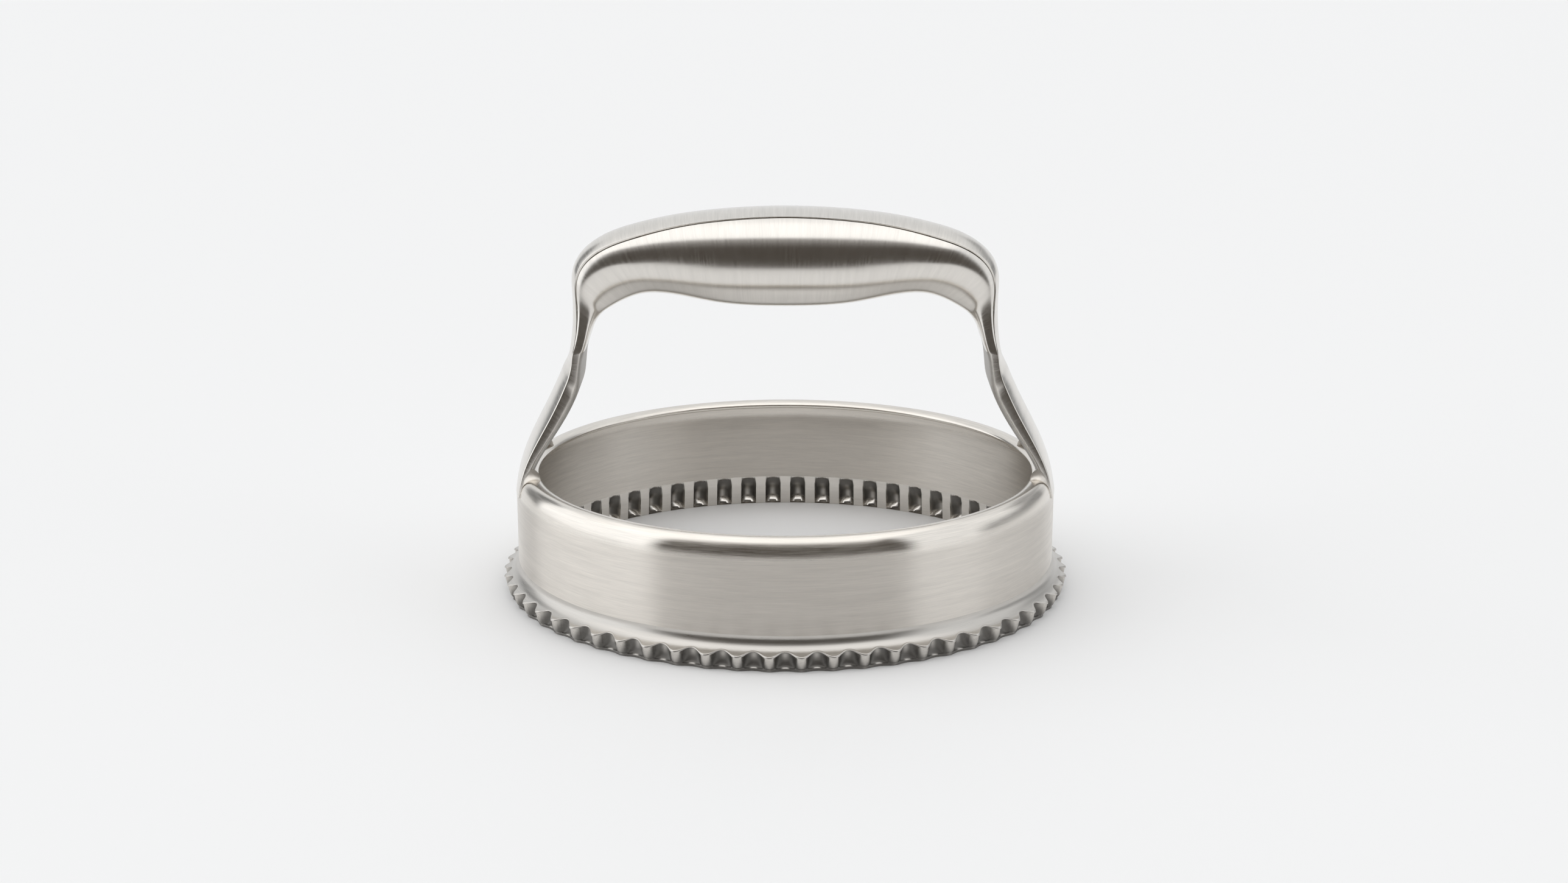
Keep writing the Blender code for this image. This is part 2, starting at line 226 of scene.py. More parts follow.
# The flange's reach past the band and its edge's rounding, in a groove and on a ridge
EDGE_REACHES, EDGE_EASINGS = (1.13, 2.28), (0.14, 0.36)
# Height, how far out the wall lies in a groove, and how far a ridge leans back from its edge
WALL = (
    (2.3, 40.30, 0.14),
    (1.9, 40.32, 0.20),
    (1.5, 40.38, 0.28),
    (1.1, 40.48, 0.38),
    (0.8, 40.60, 0.48),
    (0.57, 40.76, 0.60),
    (0.44, 40.93, 0.72),
)
# The foot's edge in a groove and on a ridge, then its places: how far past the edge, height
FOOT_EDGES = (41.02, 41.42)
FOOT_LINE = ((-0.03, 0.37), (0.0, 0.28), (0.0, 0.04), (-0.04, 0.0))
# Up the back of a pocket: how much of its depth it has there, how far out it lies, height
POCKET_BACK = (
    (0.25, 40.9, 0.08),
    (0.5, 40.9, 0.14),
    (0.7, 40.9, 0.45),
    (0.88, 40.9, 0.8),
    (1, 40.9, 1.2),
    (1, 40.9, 1.5),
    (1, 40.9, 2.1),
    (1, 40.75, 2.4),
    (1, 40.5, 2.72),
    (1, 40.2, 3.05),
    (1, 39.95, 3.4),
    (1, 39.75, 3.8),
    (1, 39.6, 4.15),
    (1, 39.45, 4.4),
    (1, 39.3, 4.55),
)
POCKET_TOP = 4.7 * MM
print("a flute is", round(math.tau * BAND_RADIUS / FLUTES / MM, 2), "mm wide at the band")


# %% How far each part of the wave has come, from 0 to 1
def blend(low, high, share):
    return low + (high - low) * share


def ridge_share(phase):
    """0 in a groove and 1 on a ridge, with ridges narrower than grooves."""
    return (0.5 - 0.5 * math.cos(math.tau * phase)) ** 1.25


def scoop_share(phase):
    """0 in the middle of a groove's round scoop and 1 from its edge on, over the ridge."""
    reach = min((0.5 - abs(phase % 1 - 0.5)) / 0.34, 1.0)
    return 1 - (1 - reach**2) ** 0.65


def pocket_depth(phase):
    """0 between pockets and 1 at the back of one."""
    reach = min(abs(phase - 0.5) / 0.3, 1.0)
    return math.sqrt(1 - reach**2.2)


for name, wave in (("ridge", ridge_share), ("scoop", scoop_share), ("pocket", pocket_depth)):
    print(name, "at phases 0 to 1:", [round(wave(k / 8), 2) for k in range(9)])

# %% The fluted section, from the joint down the outside and up the inside
def cove_height(radius):
    """The cove's upper face, a hollow that flattens out towards the flange."""
    share = (BAND_RADIUS + COVE_SIZE.x - radius) / COVE_SIZE.x
    return COVE_TOP - COVE_SIZE.y * (1 - share**COVE_ROUNDNESS) ** (1 / COVE_ROUNDNESS)


def flute_section(phase):
    ridge, scoop = ridge_share(phase), scoop_share(phase)
    edge = BAND_RADIUS + blend(*EDGE_REACHES, ridge) * MM
    easing = blend(*EDGE_EASINGS, ridge) * MM
    brim = cove_height(edge - easing)
    line = [Vector((BAND_RADIUS, JOINT_HEIGHT))]
    for k in range(COVE_POINTS):
        share = (k / (COVE_POINTS - 1)) ** 1.6
        radius = blend(BAND_RADIUS, edge - easing, share)
        line.append(Vector((radius, cove_height(radius))))
    nose = Vector((edge, brim - 0.02 * MM))
    under_nose = Vector((edge - 0.1 * easing, brim - easing))
    line += eased(line[-1], nose, under_nose, NOSE_POINTS)[1:]
    for height, groove, lean in WALL:
        radius = blend(groove * MM, edge - lean * MM, scoop)
        line.append(Vector((radius, height * MM)))
    foot = blend(*FOOT_EDGES, ridge) * MM
    line += [Vector((foot + past * MM, height * MM)) for past, height in FOOT_LINE]
    return line + pocket_section(pocket_depth(phase))


def pocket_section(depth):
    """The inside, from the foot up: ledge, back of the pocket, sloping roof, wall."""
    wall = BAND_RADIUS - SHEET
    foot = wall + 0.2 * MM
    taper = 3.8
    arch = 1 - 0.2 * (1 - depth)
    line = [Vector((foot + 0.05 * MM, 0.0)), Vector((foot, 0.06 * MM))]
    for share, radius, height in POCKET_BACK:
        front = blend(foot, wall, min(height / taper, 1.0))
        line.append(Vector((blend(front, radius * MM, depth * share), height * arch * MM)))
    line += [Vector((wall, POCKET_TOP * arch)), Vector((wall, JOINT_HEIGHT))]
    return line


ANY_PHASE = 0.3
print("points in the section", len(flute_section(ANY_PHASE)))

# %% [markdown]
# Shade is painted into the flutes' colour: the grooves and the pockets are painted darker,
# darkest along their sides, while the flange, the noses of the ridges and the thin foot stay
# lighter, and the shaded places are also made duller. How much light is painted is kept on
# each vertex for the material. The legs' inner faces get painted shade in the same way below.

# %% How much light is painted on the flutes, and how polished they are
# The numbers that the wall, the foot and the pocket's back start from in a section
FIRST_WALL = 1 + COVE_POINTS + NOSE_POINTS
FIRST_FOOT = FIRST_WALL + len(WALL)
FIRST_POCKET = FIRST_FOOT + len(FOOT_LINE)
FIRST_BACK, BACK_TOP = FIRST_POCKET + 6, 4.45
# The flange gets a little painted shade
FLANGE_PAINTED_LIGHT = 0.68
# A ridge's nose starts this far from the groove and gets this much painted light, low down and
# high up
NOSE_STARTS, NOSE_LEVELS, NOSE_CHANGE, NOSE_RISE = (0.36, 0.22), (0.5, 0.85), 0.16, (0.3, 2.3)
# The other places: from where to where the painted light comes in, and how much of it they get
GROOVE_MIDDLE, GROOVE_RISE, GROOVE_LEVEL = (0.16, 0.0), (0.9, 1.9), 0.5
LEDGE_MIDDLE, LEDGE_LEVEL, FOOT_LEVEL = (0.13, 0.05), 0.6, 0.5
POCKET_SIDE, BACK_MIDDLE, BACK_RISE, BACK_LEVEL = (0.0, 0.55), (0.15, 0.0), (3.6, 2.6), 0.6


def share_of(value, start, end):
    """How far a value has come from start to end, from 0 to 1, eased at both."""
    share = min(max((value - start) / (end - start), 0.0), 1.0)
    return share * share * (3 - 2 * share)


def outside_painted_light(from_groove, number, height):
    """Painted light on the grooves, the ridges and the foot; lower values are painted shade.
    """
    rise = share_of(height, *NOSE_RISE)
    start = blend(*NOSE_STARTS, rise)
    nose = share_of(from_groove, start, start + NOSE_CHANGE) * blend(*NOSE_LEVELS, rise)
    if number < FIRST_FOOT - 1:
        middle = share_of(from_groove, *GROOVE_MIDDLE) * share_of(height, *GROOVE_RISE)
        return max(nose, GROOVE_LEVEL * middle)
    ledge = share_of(from_groove, *LEDGE_MIDDLE) if number <= FIRST_FOOT else 0.0
    return max(FOOT_LEVEL * nose, LEDGE_LEVEL * ledge)


def polish_and_painted_light(phase, number, height):
    """1 where the metal is polished and gets full light, down to 0 for the darkest painted
    shade and dullest metal.
    """
    from_groove = 0.5 - abs(phase % 1 - 0.5)
    if number < FIRST_WALL:
        return FLANGE_PAINTED_LIGHT
    if number < FIRST_POCKET:
        return outside_painted_light(from_groove, number, height)
    if number >= FIRST_BACK and height < BACK_TOP:
        side = share_of(pocket_depth(phase), *POCKET_SIDE)
        middle = share_of(0.5 - from_groove, *BACK_MIDDLE) * share_of(height, *BACK_RISE)
        return 1 - side * (1 - BACK_LEVEL * middle)
    return 1.0


print("reach down a ridge", [round(polish_and_painted_light(0.5, FIRST_WALL, row[0]), 2) for row in WALL])

# %% Turn one flute, push it into its wave and copy it round
shape = draw_outline(flute_section(ANY_PHASE))
turn(shape, 360 / FLUTES, STEPS_IN_FLUTE)
line = shape.verts.layers.int["line"]
reach = shape.verts.layers.float.new("polish_and_painted_light")
for vertex in shape.verts:
    angle = math.atan2(vertex.co.y, vertex.co.x)
    phase = angle * FLUTES / math.tau
    radius, height = flute_section(phase)[vertex[line]]
    # Painted light for each vertex: low values paint shade into the colour and make the metal
    # duller
    vertex[reach] = polish_and_painted_light(phase, vertex[line], height / MM)
    vertex.co = (radius * math.cos(angle), radius * math.sin(angle), height)
turn(shape, 360 - 360 / FLUTES, FLUTES - 1, copies=True)
flutes = finish_piece("fluted_edge", shape, crease=40)
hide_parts("fluted_cutting_ring")

# %% [markdown]
# ## The handle's course
#
# The handle is one strap of steel, bent from foot to foot, with a pressed shell that fills
# out the grip under it. Both follow the same course: the line of the outer face, and for
# the grip the line of its belly. A course is a chain of short curves that keep the heading
# given at each knot. It is worked out for one half, and the other half mirrors it.

# %% The knots: reach, height, and how steeply the line heads down there, in degrees
OUTER_KNOTS = (
    (0.0, 56.43, 0.0),
    (11.3, 55.85, 5.7),
    (23.55, 53.45, 16.8),
    (31.27, 45.6, 92.4),
    (31.73, 35.47, 79.0),
    (33.11, 32.22, 68.5),
    (40.0, 15.3, 84.4),
)
BELLY_KNOTS = (
    (0.0, 42.05, 0.0),
    (9.73, 42.55, -8.0),
    (19.15, 43.95, 0.0),
    (26.44, 41.22, 33.0),
    (29.09, 36.21, 68.2),
    (30.3, 29.81, 70.9),
    (37.86, 15.0, 81.9),
)
NECK, FOOT = 4, 6
STEPS = 16
print("the handle's half is worked out at", FOOT * STEPS + 1, "places")


# %% Half a course through its knots
def on_course(knots, t):
    """The place at knot number t, in metres."""
    k = min(int(t), len(knots) - 2)
    u = t - k
    start, end = Vector(knots[k][:2]), Vector(knots[k + 1][:2])
    first, last = math.radians(knots[k][2]), math.radians(knots[k + 1][2])
    pull = (end - start).length / (3 * math.cos((last - first) / 4) ** 2)
    leaving = start + pull * Vector((math.cos(first), -math.sin(first)))
    arriving = end - pull * Vector((math.cos(last), -math.sin(last)))
    v = 1 - u
    return MM * (
        v**3 * start + 3 * v * v * u * leaving + 3 * v * u * u * arriving + u**3 * end
    )


def relaxed(places, rounds=40):
    """Ease the bends of a line: each round draws it in a little, then lets it out."""
    places = [place.copy() for place in places]
    for pull in (0.5, -0.52) * rounds:
        middles = [(a + b) / 2 for a, b in zip(places, places[2:])]
        for place, middle in zip(places[1:-1], middles):
            place += pull * (middle - place)
    return places


def half_course(knots):
    """Places along one half, worked out over the middle so that it stays level there."""
    half = [on_course(knots, k / STEPS) for k in range(FOOT * STEPS + 1)]
    whole = [Vector((-place.x, place.y)) for place in reversed(half[1:])] + half
    return relaxed(whole)[len(half) - 1 :]


OUTER, BELLY = half_course(OUTER_KNOTS), half_course(BELLY_KNOTS)


def at_station(places, t):
    """The place at knot number t on a worked-out line."""
    k = min(int(t * STEPS), len(places) - 2)
    return places[k].lerp(places[k + 1], t * STEPS - k)


print("the grip is", round(1000 * (OUTER[0] - BELLY[0]).length, 1), "mm thick")

# %% [markdown]
# ## Widths and depths along the course
#
# The numbers at the knots are read from the photograph, in millimetres. Between two knots
# a value follows a smooth curve whose slope suits the distance to the knots around it, so
# nothing along the handle has a kink. The handle is an oval all the way down, and the
# strap's corners lie on the upper half of that oval.

# %% Values at the knots
STRAP_HALF_WIDTHS = (4.25, 4.25, 4.25, 3.85, 6.25, 6.9, 9.77)
HALF_DEPTHS = (8.5, 7.85, 6.2, 4.8, 6.35, 7.0, 9.9)
WIDEST_DEPTHS = (8.1, 7.6, 5.5, 3.0, 1.03, 1.9, 1.25)
ROUNDNESS, LEG_ROUNDNESS = 2.3, 6.0


def spacing(k):
    return math.dist(OUTER_KNOTS[k][:2], OUTER_KNOTS[k + 1][:2])


def at_knot(values, t):
    """A smooth value between those given at the knots, in metres."""
    k = min(int(t), len(values) - 2)
    u = t - k
    start, end, here = values[k], values[k + 1], spacing(k)
    leaving = arriving = 0.0
    if k > 0:
        leaving = (end - values[k - 1]) * here / (spacing(k - 1) + here)
    if k + 2 < len(values):
        arriving = (values[k + 2] - start) * here / (here + spacing(k + 1))
    return MM * (
        (2 * u**3 - 3 * u * u + 1) * start
        + (u**3 - 2 * u * u + u) * leaving
        + (3 * u * u - 2 * u**3) * end
        + (u**3 - u * u) * arriving
    )


half_depth = 1000 * at_knot(HALF_DEPTHS, NECK)
print("at the neck the handle is", round(2 * half_depth, 1), "mm from front to back")


# %% The oval's section
def rounded(share):
    return math.copysign(abs(share) ** (2 / ROUNDNESS), share)


def oval_depth(t, y):
    """How deep under the outer face's middle the upper half of the oval lies at y."""
    reach = min(abs(y) / at_knot(HALF_DEPTHS, t), 1.0)
    return at_knot(WIDEST_DEPTHS, t) * (1 - (1 - reach**ROUNDNESS) ** (1 / ROUNDNESS))


def oval_edge(t, depth):
    """How far out the upper half of the oval reaches at a depth."""
    rise = max(1 - depth / at_knot(WIDEST_DEPTHS, t), 0.0)
    return at_knot(HALF_DEPTHS, t) * (1 - rise**ROUNDNESS) ** (1 / ROUNDNESS)


def oval_side(t, first_y, steps):
    """(y, depth) down one side of the oval, from its upper half at first_y to the belly."""
    half_depth, above = at_knot(HALF_DEPTHS, t), at_knot(WIDEST_DEPTHS, t)
    below = (at_station(BELLY, t) - at_station(OUTER, t)).length - above
    start = math.asin(min(first_y / half_depth, 1.0) ** (ROUNDNESS / 2))
    under = blend(ROUNDNESS, LEG_ROUNDNESS, max(0.0, min(1.0, t - NECK + 1)))
    side = []
    for k in range(steps + 1):
        angle = start + (math.pi - start) * k / steps
        if angle <= math.pi / 2:
            out, depth = rounded(math.sin(angle)), above * (1 - rounded(math.cos(angle)))
        else:
            out = max(math.sin(angle), 0.0) ** (2 / under)
            depth = above + below * max(-math.cos(angle), 0.0) ** (2 / under)
        side.append(Vector((half_depth * out, depth)))
    return side


def mirrored(half):
    """A section from its right half, whose last point is on the middle line."""
    return half + [Vector((-place.x, place.y)) for place in reversed(half[:-1])]


corner_depth = oval_depth(0, STRAP_HALF_WIDTHS[0] * MM)
print("the strap's corners lie", round(1000 * corner_depth, 2), "mm under its crown")

# %% [markdown]
# ## Lofting
#
# A loft starts from one ring of vertices. The ring's edges are extruded to make the next
# ring, whose vertices then move to their places on the next section. The caps at the two
# ends are filled, and a UV map is laid on: U runs along the handle and V round it, in
# metres, so that the grinding lines can follow the metal wherever it bends.

# %% The loft helper
def next_ring(shape, ring):
    """Extrude a ring of vertices, and give the new ones in the same order."""
    edges = [shape.edges.get((a, b)) for a, b in zip(ring, ring[1:] + ring[:1])]
    made = bmesh.ops.extrude_edge_only(shape, edges=edges)["geom"]
    fresh = {item for item in made if isinstance(item, bmesh.types.BMVert)}
    return [
        next(edge.other_vert(v) for edge in v.link_edges if edge.other_vert(v) in fresh)
        for v in ring
    ]


def loft(sections):
    """A closed skin through sections, each a list of places with as many points."""
    shape = bmesh.new()
    grid = shape.verts.layers.float_vector.new("grid")
    ring = [shape.verts.new(place) for place in sections[0]]
    for a, b in zip(ring, ring[1:] + ring[:1]):
        bmesh.ops.contextual_create(shape, geom=[a, b])
    start, along = ring, 0.0
    for number, section in enumerate(sections):
        if number:
            ring = next_ring(shape, ring)
            middle = len(section) // 4
            along += (Vector(section[middle]) - Vector(sections[number - 1][middle])).length
        around = 0.0
        for k, (vertex, place) in enumerate(zip(ring, section)):
            vertex.co = place
            around += (Vector(place) - Vector(section[k - 1])).length if k else 0.0
            vertex[grid] = (along, around, 0)
    for end in (start, ring):
        bmesh.ops.contextual_create(shape, geom=end)
    lay_uv(shape, grid)
    return shape


def lay_uv(shape, grid):
    uv = shape.loops.layers.uv.new("along_and_round")
    for face in shape.faces:
        for corner in face.loops:
            corner[uv].uv = corner.vert[grid].xy


# %% [markdown]
# ## The strap
#
# On the grip the strap is a shallow crowned cap with crisp corners. Below the neck it is
# half round: the crowned face looks outwards and a rounded belly looks in. Its feet flare
# and are ground to sit on the rim, so each vertex that would pass through the rim is
# stopped a little under the rim's surface.

# %% The strap's section at knot number t, as (y, depth) from its middle
CORNER_EASING = 0.12 * MM
CROWN_SHARES = (0, 0.17, 0.33, 0.5, 0.67, 0.83, 1)
SIDE_STEPS = 18
STRAP_SHEET = 1.9 * MM
NECK_END, JUST_BELOW = NECK + 0.02, 0.001


def strap_section(t):
    width = at_knot(STRAP_HALF_WIDTHS, t)
    corner = Vector((width, oval_depth(t, width)))
    flat = width - CORNER_EASING
    crown = [Vector((s * flat, corner.y * (s * flat / width) ** 2)) for s in CROWN_SHARES]
    below = Vector((oval_edge(t, corner.y + CORNER_EASING), corner.y + CORNER_EASING))
    edge = eased(crown[-1], corner, below)[1:]
    if t < NECK_END:
        edge[-1].x = edge[-2].x = width
        hidden = [Vector((width - 0.1 * MM, corner.y + 0.7 * MM))]
        for k in range(SIDE_STEPS):
            share = 1 - k / (SIDE_STEPS - 1)
            hidden.append(Vector((share * (width - 0.2 * MM), STRAP_SHEET)))
    else:
        hidden = oval_side(t, below.x, SIDE_STEPS)[1:]
        hidden.insert(0, blend(below, hidden[0], 0.5))
    return mirrored(crown[1:] + edge + hidden) + crown[:1]


print("points in the strap's section", len(strap_section(0)))


# %% Put sections on the course, and stop the feet at the rim
SEAT_DEPTH = 0.15 * MM


def rim_surface(radius):
    """The height of the rim's upper surface at a radius, a little under its skin."""
    crest = BAND_RADIUS - RIM_REACH
    if radius >= crest:
        share = min((radius - crest) / RIM_REACH, 1.0)
        return RIM_SPRING + RIM_RISE * math.sqrt(1 - share * share) - SEAT_DEPTH
    drop = min(crest - radius, LIP_ROUNDING * 0.8)
    lip_centre = RIM_SPRING + RIM_RISE - LIP_ROUNDING
    return lip_centre + math.sqrt(LIP_ROUNDING**2 - drop**2) - SEAT_DEPTH


def place_section(t, side, section):
    """Put a (y, depth) section on the course, on the left (-1) or right (1) half."""
    middle = at_station(OUTER, t)
    into = (at_station(BELLY, t) - middle).normalized()
    places = []
    for y, depth in section:
        spot = middle + depth * into
        place = Vector((side * spot.x, y, spot.y))
        if t > FOOT - 1:
            place.z = max(place.z, rim_surface(place.xy.length))
        places.append(place)
    return places


def whole_handle(section, last):
    """Sections from the left end, over the grip, to the right."""
    half = [k / STEPS for k in range(1, int(last) * STEPS + 1)]
    half += [NECK_END] if last == NECK else [NECK_END, NECK_END + JUST_BELOW]
    half.sort()
    sides = [(t, -1) for t in reversed(half)] + [(0.0, 1)] + [(t, 1) for t in half]
    return [place_section(t, side, section(t)) for t, side in sides]


# %% Loft the strap, and keep painted shade and dullness for its inner faces
STARTS_UNDER_SHELL = (41.5, 39.5)
TURNED_IN = (0.3, 0.75)

strap_shape = loft(whole_handle(strap_section, FOOT))
strap_shape.normal_update()
reach = strap_shape.verts.layers.float.new("polish_and_painted_light")
for vertex in strap_shape.verts:
    inward = -math.copysign(vertex.normal.x, vertex.co.x * vertex.normal.x)
    below_neck = share_of(vertex.co.z / MM, *STARTS_UNDER_SHELL)
    # The legs' inner faces below the grip get painted shade and duller metal
    vertex[reach] = 1 - below_neck * share_of(inward, *TURNED_IN)
strap = finish_piece("strap", strap_shape, crease=40)
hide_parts("handle_strap")

# %% [markdown]
# ## The grip's shell
#
# The shell is a deep oval pressing whose two lips lie close against the strap's corners.
# The narrow V between a lip and the corner is what draws the fine dark line along the
# grip. It closes towards the neck, where shell and strap are ground flush.

# %% The shell's section
SEAM, LIP_EASING = 0.3 * MM, 0.10 * MM
SEAM_CLOSING = 0.7
SHELL_STEPS = 26


def shell_section(t):
    width = at_knot(STRAP_HALF_WIDTHS, t)
    open_share = max(0.0, min(1.0, (NECK - t) / SEAM_CLOSING))
    side = oval_side(t, width + (SEAM + LIP_EASING) * open_share, SHELL_STEPS)
    if open_share < 1:
        corner = oval_depth(t, width) + CORNER_EASING * (1 - open_share)
        side[0] = Vector((oval_edge(t, corner), corner))
    inner = width + SEAM * open_share
    brim = Vector((inner, side[0].y))
    lips = [Vector((width - 0.4 * MM, STRAP_SHEET + 0.05 * MM))]
    lips.append(Vector((inner - 0.02 * MM, brim.y + 0.6 * MM)))
    lips += eased(brim + Vector((0, LIP_EASING * open_share)), brim, side[0], 3)[:-1]
    return mirrored(lips + side)


shell = finish_piece("grip_pressing", loft(whole_handle(shell_section, NECK)), crease=40)
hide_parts("grip_shell")

# %% [markdown]
# ## The welds
#
# A weld fills the corner between a foot's side and the rim with a hollow bead. Its section
# is a small concave triangle. It is lofted along the rim, from under the outer corner to
# the lip, swelling in the middle and running out at both ends.

# %% A bead's section, at a place on the rim's curve
WELD_LEG = 1.25 * MM
BEAD_STEPS = 9
# The bead's section in legs: how far from the foot's side, and how far up it
ROOT, TOP = (Vector((-0.25, -0.1)), Vector((1.0, -0.1))), Vector((-0.25, 1.25))


def leg_at(height):
    """The outer face's reach and the strap's half width at a height near the foot."""
    t = float(FOOT)
    while t > NECK and at_station(OUTER, t).y < height:
        t -= 0.01
    return at_station(OUTER, t).x, at_knot(HALF_DEPTHS, t)


def weld_section(turned, swell, side, end):
    radius, seat = rim_point(turned, 0.12 * MM)
    leg = WELD_LEG * swell
    shares = [k / BEAD_STEPS for k in range(1, BEAD_STEPS + 1)]
    hollow = [Vector(((1 - s) ** 1.6, TOP.y * s * s)) for s in shares]
    places = []
    for across, up in [*ROOT, *hollow, TOP]:
        height = seat + up * leg
        reach, width = leg_at(height)
        y = width - 0.05 * MM + across * leg
        lean = leg_at(seat)[0] - reach
        places.append((side * (math.sqrt(radius**2 - y**2) - lean), end * y, height))
    return places


print("points in a bead's section", len(weld_section(90, 1.0, 1, 1)))

# %% Four weld beads
WELD_START, WELD_TURN, WELD_STEPS = 18, 104, 14

weld_turns = [WELD_START + WELD_TURN * k / WELD_STEPS for k in range(WELD_STEPS + 1)]
swells = [math.sin(math.pi * (k + 0.6) / 15.2) ** 0.7 for k in range(WELD_STEPS + 1)]
welds = []
for x_name, side in (("left", -1), ("right", 1)):
    for y_name, end in (("front", -1), ("rear", 1)):
        sections = [weld_section(a, s, side, end) for a, s in zip(weld_turns, swells)]
        weld = finish_piece(f"bead_{y_name}_{x_name}", loft(sections), crease=50)
        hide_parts(f"weld_{y_name}_{x_name}")
        welds.append(weld)

# %% [markdown]
# ## Grinding lines
#
# Brushed steel gets its look from fine scratches that all run one way. They are a noise
# that is stretched: it changes slowly along the scratches and quickly across them. One
# node group makes it from any vector whose X and Y run along the scratches and whose Z
# runs across them, so the ring, the legs and the grip can share it.

# %% Helpers that build node trees
def add_node(tree, kind, **settings):
    node = tree.nodes.new(kind)
    for name, value in settings.items():
        setattr(node, name, value)
    return node


def feed(tree, value, socket):
    """Link another node's socket to this one, or give it a plain value."""
    if isinstance(value, bpy.types.NodeSocket):
        tree.links.new(value, socket)
    elif value is not None:
        socket.default_value = value


def scalar(tree, operation, first, second=None):
    """A Math node whose inputs are sockets or plain numbers."""
    node = add_node(tree, "ShaderNodeMath", operation=operation)
    for socket, value in zip(node.inputs, (first, second)):
        feed(tree, value, socket)
    return node.outputs["Value"]


def summed(tree, value, *parts):
    """A value plus some sockets, each given with its weight."""
    for socket, weight in parts:
        value = scalar(tree, "ADD", value, scalar(tree, "MULTIPLY", socket, weight))
    return value


def product(tree, value, *factors):
    for factor in factors:
        value = scalar(tree, "MULTIPLY", value, factor)
    return value


def faded(tree, value, start, end, low=0.0, high=1.0):
    """Low up to the start, high from the end on, and an eased change between them."""
    node = add_node(tree, "ShaderNodeMapRange", interpolation_type="SMOOTHSTEP")
    tree.links.new(value, node.inputs["Value"])
    marks = {"From Min": start, "From Max": end, "To Min": low, "To Max": high}
    for name, number in marks.items():
        node.inputs[name].default_value = number
    return node.outputs["Result"]


def scaled(tree, colour, amount):
    """A colour or vector times a socket."""
    node = add_node(tree, "ShaderNodeVectorMath", operation="SCALE")
    feed(tree, colour, node.inputs[0])
    tree.links.new(amount, node.inputs["Scale"])
    return node.outputs["Vector"]


def separated(tree, vector):
    """The X, Y and Z of a vector."""
    node = add_node(tree, "ShaderNodeSeparateXYZ")
    tree.links.new(vector, node.inputs["Vector"])
    return [node.outputs[name] for name in "XYZ"]


# %% A node group for grinding lines
FINE_STRETCH, BROAD_STRETCH = (260, 6500), (90, 1800)


def new_group(name, inputs, outputs):
    group = bpy.data.node_groups.new(name, "ShaderNodeTree")
    for title, kind, value in inputs:
        socket = group.interface.new_socket(title, in_out="INPUT", socket_type=kind)
        if value is not None:
            socket.default_value = value
    for title, kind in outputs:
        group.interface.new_socket(title, in_out="OUTPUT", socket_type=kind)
    return group, group.nodes.new("NodeGroupInput"), group.nodes.new("NodeGroupOutput")


def noise(tree, vector, scale, detail, roughness):
    """A noise that swings round 0 by half either way."""
    node = add_node(tree, "ShaderNodeTexNoise", noise_dimensions="3D")
    node.inputs["Scale"].default_value = scale
    node.inputs["Detail"].default_value = detail
    node.inputs["Roughness"].default_value = roughness
    tree.links.new(vector, node.inputs["Vector"])
    return scalar(tree, "SUBTRACT", node.outputs["Fac"], 0.5)


def stretched(tree, vector, along, across):
    """Scale a vector slowly along the scratches and quickly across them."""
    node = add_node(tree, "ShaderNodeVectorMath", operation="MULTIPLY")
    tree.links.new(vector, node.inputs[0])
    node.inputs[1].default_value = (along, along, across)
    return node.outputs["Vector"]


grind, ins, outs = new_group(
    "grinding_lines",
    [("Vector", "NodeSocketVector", None), ("Depth", "NodeSocketFloat", 1.0)],
    [("Lines", "NodeSocketFloat"), ("Streaks", "NodeSocketFloat")],
)
way, deep = ins.outputs["Vector"], ins.outputs["Depth"]
fine = noise(grind, stretched(grind, way, *FINE_STRETCH), 1.0, 3.0, 0.6)
broad = noise(grind, stretched(grind, way, *BROAD_STRETCH), 1.0, 2.0, 0.5)
grind.links.new(product(grind, fine, deep), outs.inputs["Lines"])
grind.links.new(product(grind, broad, deep), outs.inputs["Streaks"])
print("grinding lines group has", len(grind.nodes), "nodes")

# %% [markdown]
# ## Handling
#
# A tool that has been held and wiped shows faint clouds where the polish is a little
# duller. They are soft, large and weak, and a second group gives them to every steel.

# %% A node group for handling clouds
handling, ins, outs = new_group(
    "handling_clouds",
    [("Vector", "NodeSocketVector", None), ("Strength", "NodeSocketFloat", 1.0)],
    [("Clouds", "NodeSocketFloat")],
)
soft = noise(handling, ins.outputs["Vector"], 70, 3.0, 0.55)
clouds = product(handling, soft, ins.outputs["Strength"])
handling.links.new(clouds, outs.inputs["Clouds"])
print("handling clouds group has", len(handling.nodes), "nodes")

# %% [markdown]
# ## The steels
#
# Each steel is a metal whose colour, roughness and bump come from the two groups. The
# stretch of its reflections, across the scratches, is a plain number on the shader. Where
# the vertex attribute is low, shade is painted into the colour and the metal is made duller.

# %% Steel maker
WARM_STEEL, CLEAR_STEEL = (0.77, 0.73, 0.675), (0.735, 0.706, 0.664)
CLOUD_BITE, LINE_SHADE, STREAK_SHADE = 0.06, 0.30, 0.22
BUMP_STRENGTH, BUMP_HEIGHT = 0.05, 0.00004


